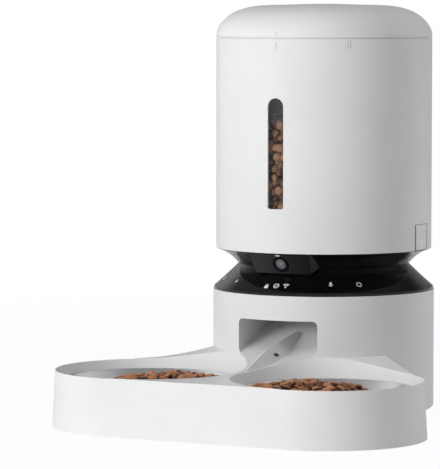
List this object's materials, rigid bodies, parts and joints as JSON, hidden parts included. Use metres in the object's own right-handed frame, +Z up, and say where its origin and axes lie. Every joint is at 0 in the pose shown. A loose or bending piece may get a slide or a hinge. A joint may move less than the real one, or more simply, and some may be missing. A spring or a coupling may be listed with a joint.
{
  "type": "automatic pet feeder",
  "caption": "Automatic pet feeder: round hopper on a powered base with camera and dosing wheel, and a stadium-shaped tray with steel bowls and a food splitter.",
  "frame": {"origin": "tower axis at floor level, in the plane of the foot ring", "axes": "+Z up along the tower axis, -Y toward the bowls, which is the front, and +X to the right for someone who faces the front"},
  "size_m": [0.3444, 0.357, 0.371],
  "materials": {
    "white_plastic": "matte",
    "inner_plastic": "matte",
    "smoke_bin": "gloss",
    "gloss_black": "gloss",
    "satin_black": "satin",
    "lens_glass": "gloss",
    "status_lens": "gloss",
    "window_clear": "gloss",
    "soft_rubber": "matte",
    "white_silicone": "matte",
    "steel_bowl": "satin",
    "steel_parts": "satin",
    "spring_steel": "satin",
    "brass_bush": "satin",
    "gear_plastic": "satin",
    "board_green": "satin",
    "cell_jacket": "satin",
    "bag_paper": "matte",
    "dry_food": "matte",
    "printed_marks": "matte"
  },
  "bodies": {
    "base": {"base_shell": "white_plastic", "bottom_plate": "white_plastic", "base_screws": "steel_parts", "foot_ring": "soft_rubber", "deck_plate": "inner_plastic", "deck_screws": "steel_parts", "control_ring": "gloss_black", "collar": "gloss_black", "camera_housing": "gloss_black", "camera_panel": "satin_black", "status_light": "status_lens", "lens_ring": "gloss_black", "camera_lens": "lens_glass", "camera_barrel": "satin_black", "camera_board": "board_green", "dosing_cup": "inner_plastic", "cup_seal": "white_silicone", "shaft_bush": "brass_bush", "drive_bracket": "steel_parts", "gear_motor": "steel_parts", "chute": "white_plastic", "food_sensors": "satin_black", "battery_box": "satin_black", "battery_1": "cell_jacket", "battery_2": "cell_jacket", "battery_3": "cell_jacket", "battery_contacts": "spring_steel", "main_board": "board_green", "power_board": "board_green", "speaker": "satin_black", "power_socket": "satin_black", "reset_switch": "satin_black", "reset_spring": "spring_steel"},
    "dosing_rotor": {"dosing_wheel": "white_silicone", "wheel_shaft": "steel_parts", "wheel_gear": "gear_plastic"},
    "motor_output": {"motor_pinion": "brass_bush", "motor_shaft": "steel_parts"},
    "rear_door": {"battery_door": "white_plastic"},
    "reset_key": {"reset_button": "satin_black"},
    "hopper": {"hopper_shell": "white_plastic", "window_pane": "window_clear", "food_bin": "smoke_bin", "hopper_floor": "inner_plastic", "tab_pins": "steel_parts", "tab_springs": "spring_steel"},
    "left_release": {"left_release_tab": "white_plastic"},
    "right_release": {"right_release_tab": "white_plastic"},
    "lid_gasket": {"lid_seal": "white_silicone"},
    "lid": {"lid_cover": "white_plastic", "lid_plate": "inner_plastic", "lid_screws": "steel_parts", "desiccant_bag": "bag_paper"},
    "desiccant_cover": {"desiccant_cap": "inner_plastic"},
    "feeding_tray": {"tray": "white_plastic", "tray_feet": "soft_rubber"},
    "left_dish": {"left_bowl": "steel_bowl"},
    "right_dish": {"right_bowl": "steel_bowl"},
    "food_splitter": {"splitter": "white_plastic"}
  },
  "joints": [
    {"name": "wheel_spin", "type": "hinge", "parent": "base", "child": "dosing_rotor", "pos_m": [0, 0, 0.1], "axis": [0, 0, 1], "continuous": true},
    {"name": "pinion_spin", "type": "hinge", "parent": "base", "child": "motor_output", "pos_m": [0, 0.028, 0.1], "axis": [0, 0, 1], "continuous": true},
    {"name": "battery_door_pull", "type": "slide", "parent": "base", "child": "rear_door", "axis": [0, 1, 0], "range_m": [0, 0.04]},
    {"name": "reset_press", "type": "slide", "parent": "base", "child": "reset_key", "axis": [0.766, -0.6428, 0], "range_m": [0, 0.001], "stiffness_N_per_m": 600, "springref_m": -0.001},
    {"name": "hopper_lift", "type": "slide", "parent": "base", "child": "hopper", "axis": [0, 0, 1], "range_m": [0, 0.06]},
    {"name": "left_release_press", "type": "hinge", "parent": "hopper", "child": "left_release", "pos_m": [-0.0958, 0, 0.1704], "axis": [0, -1, 0], "range_deg": [0, 4], "stiffness_Nm_per_rad": 0.8, "springref_deg": -2.29},
    {"name": "right_release_press", "type": "hinge", "parent": "hopper", "child": "right_release", "pos_m": [0.0958, 0, 0.1704], "axis": [0, 1, 0], "range_deg": [0, 4], "stiffness_Nm_per_rad": 0.8, "springref_deg": -2.29},
    {"name": "lid_lift", "type": "slide", "parent": "hopper", "child": "lid_gasket", "axis": [0, 0, 1], "range_m": [0, 0.06]},
    {"name": "lid_turn", "type": "hinge", "parent": "lid_gasket", "child": "lid", "pos_m": [0, 0, 0.34], "axis": [0, 0, 1], "range_deg": [0, 40]},
    {"name": "desiccant_turn", "type": "hinge", "parent": "lid", "child": "desiccant_cover", "pos_m": [0, 0, 0.325], "axis": [0, 0, 1], "range_deg": [0, 30]},
    {"name": "tray_pull", "type": "slide", "parent": "base", "child": "feeding_tray", "axis": [0, -1, 0], "range_m": [0, 0.06]},
    {"name": "left_bowl_lift", "type": "slide", "parent": "feeding_tray", "child": "left_dish", "axis": [0, 0, 1], "range_m": [0, 0.08]},
    {"name": "right_bowl_lift", "type": "slide", "parent": "feeding_tray", "child": "right_dish", "axis": [0, 0, 1], "range_m": [0, 0.08]},
    {"name": "splitter_lift", "type": "slide", "parent": "feeding_tray", "child": "food_splitter", "axis": [0, 0, 1], "range_m": [0, 0.01]}
  ],
  "couplings": [
    {"joint": "pinion_spin", "follows": "wheel_spin", "ratio": -3}
  ]
}
